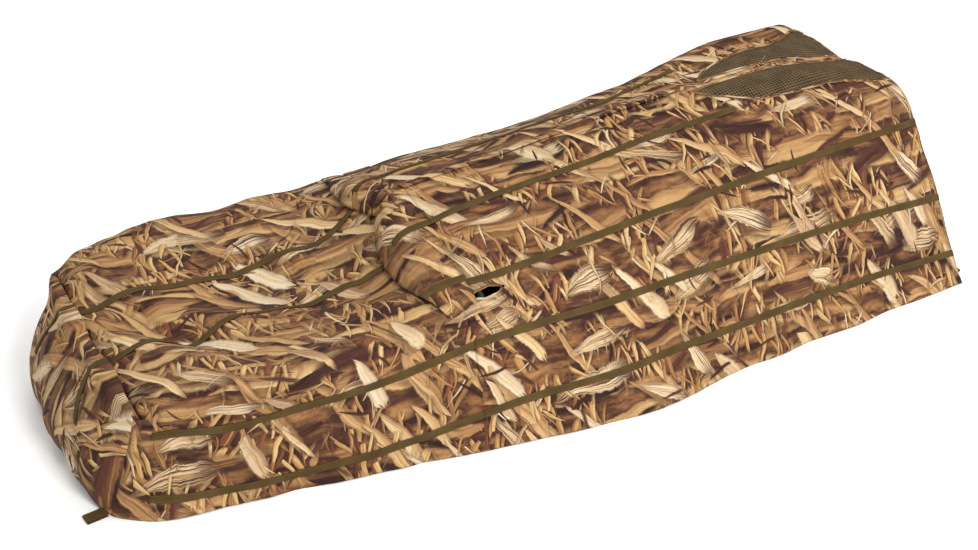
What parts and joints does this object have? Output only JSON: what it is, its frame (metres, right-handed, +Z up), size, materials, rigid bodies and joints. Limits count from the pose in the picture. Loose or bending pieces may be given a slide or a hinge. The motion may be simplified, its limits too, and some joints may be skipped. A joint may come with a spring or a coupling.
{
  "type": "layout field blind",
  "caption": "Low coffin-shaped ground blind in straw camouflage: folding tube frame, foot bag, twin top doors with mesh windows, padded backrest.",
  "frame": {"origin": "on the ground under the middle of the whole blind", "axes": "+X from the foot end to the head end, +Z up, -Y the hunter's left side"},
  "size_m": [2.2154, 1.0232, 0.4891],
  "materials": {
    "camo_fabric": "matt woven polyester printed with straw and corn stubble",
    "webbing": "olive brown woven webbing",
    "netting": "fine olive brown mesh",
    "ground_cloth": "coated brown ground cloth",
    "pad_fabric": "quilted olive pad cover",
    "frame_paint": "dark olive powder coat on aluminium tube",
    "zinc_steel": "zinc plated"
  },
  "bodies": {
    "torso": {"torso_base_frame": "frame_paint", "mid_hoop": "frame_paint", "head_hoop": "frame_paint", "backrest_rest_bar": "frame_paint", "torso_floor": "ground_cloth", "head_end_panel": "camo_fabric", "left_wall": "camo_fabric", "right_wall": "camo_fabric", "left_wall_lower_strap": "webbing", "right_wall_lower_strap": "webbing", "left_wall_upper_strap": "webbing", "right_wall_upper_strap": "webbing", "left_hinge_gusset": "camo_fabric", "right_hinge_gusset": "camo_fabric", "left_side_rail": "frame_paint", "right_side_rail": "frame_paint", "left_head_stake_loop": "webbing", "right_head_stake_loop": "webbing", "left_torso_fold_plate": "zinc_steel", "right_torso_fold_plate": "zinc_steel", "left_torso_plate_bolt": "zinc_steel", "right_torso_plate_bolt": "zinc_steel", "left_fold_pin": "zinc_steel", "right_fold_pin": "zinc_steel", "left_backrest_pin": "zinc_steel", "right_backrest_pin": "zinc_steel"},
    "foot_section": {"foot_base_frame": "frame_paint", "knee_hoop": "frame_paint", "foot_bag": "camo_fabric", "foot_floor": "ground_cloth", "left_foot_bag_strap": "webbing", "right_foot_bag_strap": "webbing", "left_foot_stake_loop": "webbing", "right_foot_stake_loop": "webbing", "left_foot_fold_plate": "zinc_steel", "right_foot_fold_plate": "zinc_steel", "left_foot_plate_bolt": "zinc_steel", "right_foot_plate_bolt": "zinc_steel", "left_foot_hoop_pin": "zinc_steel", "right_foot_hoop_pin": "zinc_steel"},
    "foot_hoop": {"foot_hoop": "frame_paint"},
    "left_door": {"left_door_cover": "camo_fabric", "left_window": "netting", "left_door_apron": "camo_fabric", "left_door_frame": "frame_paint", "left_door_outer_strap": "webbing", "left_door_inner_strap": "webbing", "centre_flap": "camo_fabric"},
    "right_door": {"right_door_cover": "camo_fabric", "right_window": "netting", "right_door_apron": "camo_fabric", "right_door_frame": "frame_paint", "right_door_outer_strap": "webbing", "right_door_inner_strap": "webbing"},
    "backrest": {"backrest_frame": "frame_paint", "backrest_pad": "pad_fabric", "headrest_pillow": "pad_fabric"}
  },
  "joints": [
    {"name": "frame_fold", "type": "hinge", "parent": "torso", "child": "foot_section", "pos_m": [-0.37, 0, 0.258], "axis": [0, 1, 0], "range_deg": [0, 180], "deforming": ["foot_bag", "left_foot_bag_strap", "right_foot_bag_strap"]},
    {"name": "foot_hoop_fold", "type": "hinge", "parent": "foot_section", "child": "foot_hoop", "pos_m": [-0.955, 0, 0.032], "axis": [0, 1, 0], "range_deg": [0, 90]},
    {"name": "left_door_swing", "type": "hinge", "parent": "torso", "child": "left_door", "pos_m": [-0.27, -0.323, 0.266], "axis": [0.9985, 0.0271, 0.0477], "range_deg": [0, 105], "deforming": ["left_hinge_gusset", "left_door_apron", "centre_flap"]},
    {"name": "right_door_swing", "type": "hinge", "parent": "torso", "child": "right_door", "pos_m": [-0.27, 0.323, 0.266], "axis": [-0.9985, 0.0271, -0.0477], "range_deg": [0, 105], "deforming": ["right_hinge_gusset", "right_door_apron"]},
    {"name": "backrest_tilt", "type": "hinge", "parent": "torso", "child": "backrest", "pos_m": [0.33, 0, 0.036], "axis": [0, -1, 0], "range_deg": [0, 12]}
  ],
  "couplings": [
    {"joint": "foot_hoop_fold", "follows": "frame_fold", "ratio": 0.5}
  ]
}
